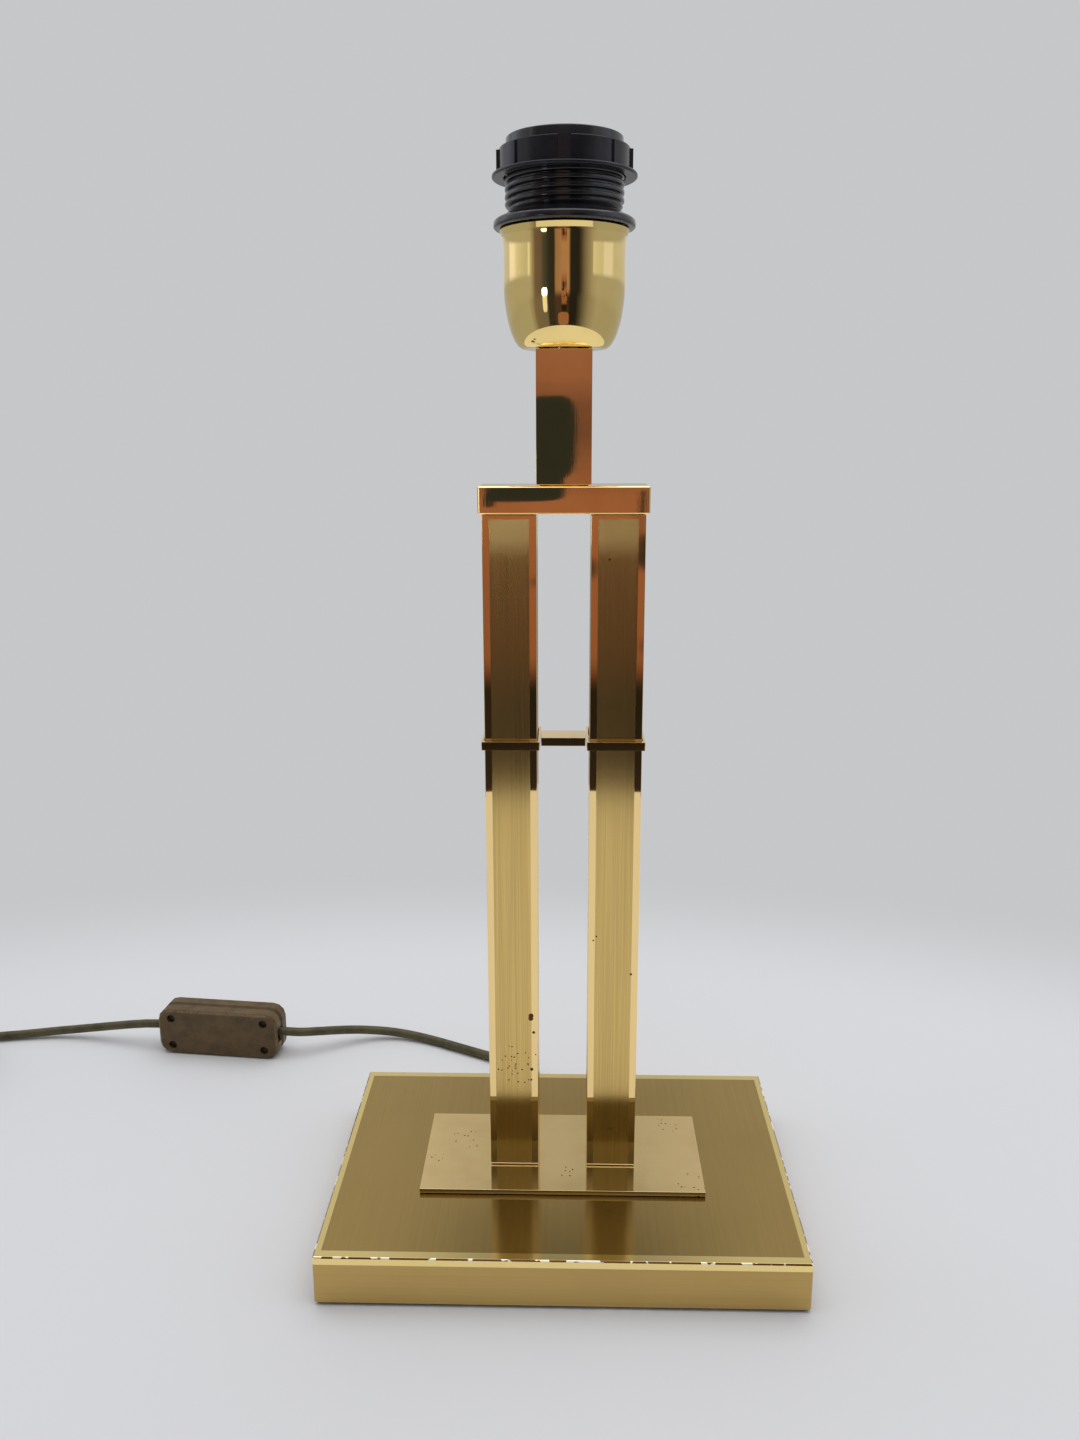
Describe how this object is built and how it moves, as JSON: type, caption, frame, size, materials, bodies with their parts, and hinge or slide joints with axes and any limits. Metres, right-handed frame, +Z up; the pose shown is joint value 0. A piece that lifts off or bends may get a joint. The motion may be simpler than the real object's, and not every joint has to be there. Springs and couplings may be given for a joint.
{
  "type": "table lamp",
  "caption": "Brass table lamp base: flat rectangular foot, two square columns joined by a collar and top bar, square neck, cup and threaded bulb holder, with cord, hand switch and plug.",
  "frame": {"origin": "centre of the base's underside, on the surface the lamp stands on", "axes": "+Z up along the columns, +X to the right along the base's long side, -Y towards the viewer"},
  "size_m": [0.4635, 0.192, 0.3985],
  "materials": {
    "brushed_brass": "lengthwise brushed, lacquered",
    "polished_brass": "polished, lacquered",
    "contact_brass": "bright stamped",
    "steel": "zinc plated",
    "iron": "as cast",
    "felt": "felt",
    "black_plastic": "moulded satin",
    "brown_plastic": "moulded satin",
    "cord_vinyl": "smooth vinyl",
    "lead_vinyl": "smooth vinyl",
    "pin_nickel": "nickel plated"
  },
  "bodies": {
    "root": {"base_shell": "brushed_brass", "felt_pad": "felt", "bottom_cover": "steel", "cover_screw_1": "steel", "cover_screw_2": "steel", "cover_screw_3": "steel", "cover_screw_4": "steel", "base_weight": "iron", "cord_grommet": "brown_plastic", "cord_clamp": "brown_plastic", "clamp_screw_1": "steel", "clamp_screw_2": "steel", "foot_plate": "polished_brass", "column_left": "brushed_brass", "column_right": "brushed_brass", "collar_left": "polished_brass", "collar_right": "polished_brass", "collar_bridge": "polished_brass", "tie_rod_left": "steel", "tie_rod_right": "steel", "tie_rod_nut_lower_left": "steel", "tie_rod_nut_lower_right": "steel", "tie_rod_nut_upper_left": "steel", "tie_rod_nut_upper_right": "steel", "top_bar": "polished_brass", "top_bar_plate": "steel", "neck": "polished_brass", "neck_pipe": "steel", "pipe_nut_lower": "steel", "pipe_nut_upper": "steel", "holder_cup": "polished_brass", "contact_shell": "contact_brass", "holder_insulator": "black_plastic", "contact_foot": "contact_brass", "holder_terminal_front": "contact_brass", "holder_terminal_back": "contact_brass", "holder_sleeve": "black_plastic", "inner_cord": "cord_vinyl", "inner_lead_blue": "lead_vinyl", "inner_lead_brown": "lead_vinyl", "switch_case_near": "brown_plastic", "switch_case_far": "brown_plastic", "switch_screw_1": "steel", "switch_screw_2": "steel", "switch_screw_3": "steel", "switch_screw_4": "steel", "switch_terminal_left": "contact_brass", "switch_terminal_right": "contact_brass", "cord_lamp_side": "cord_vinyl", "cord_plug_side": "cord_vinyl", "cord_coil": "cord_vinyl", "cord_tail": "cord_vinyl", "coil_tie": "black_plastic", "plug_body": "brown_plastic", "plug_pin_left": "pin_nickel", "plug_pin_right": "pin_nickel", "plug_relief": "brown_plastic"},
    "shade_ring": {"shade_ring": "black_plastic"},
    "centre_contact": {"centre_contact": "contact_brass"},
    "switch_rocker": {"switch_rocker": "brown_plastic"}
  },
  "joints": [
    {"name": "shade_ring_travel", "type": "slide", "parent": "root", "child": "shade_ring", "axis": [0, 0, 1], "range_m": [-0.0104, 0.0088]},
    {"name": "centre_contact_press", "type": "hinge", "parent": "root", "child": "centre_contact", "pos_m": [-0.009, 0, 0.3469], "axis": [0, 1, 0], "range_deg": [0, 9], "stiffness_Nm_per_rad": 0.3},
    {"name": "switch_rocker_tilt", "type": "hinge", "parent": "root", "child": "switch_rocker", "pos_m": [-0.17298, 0.11978, 0.012], "axis": [0, 0, 1], "range_deg": [-13.7, 0]}
  ]
}
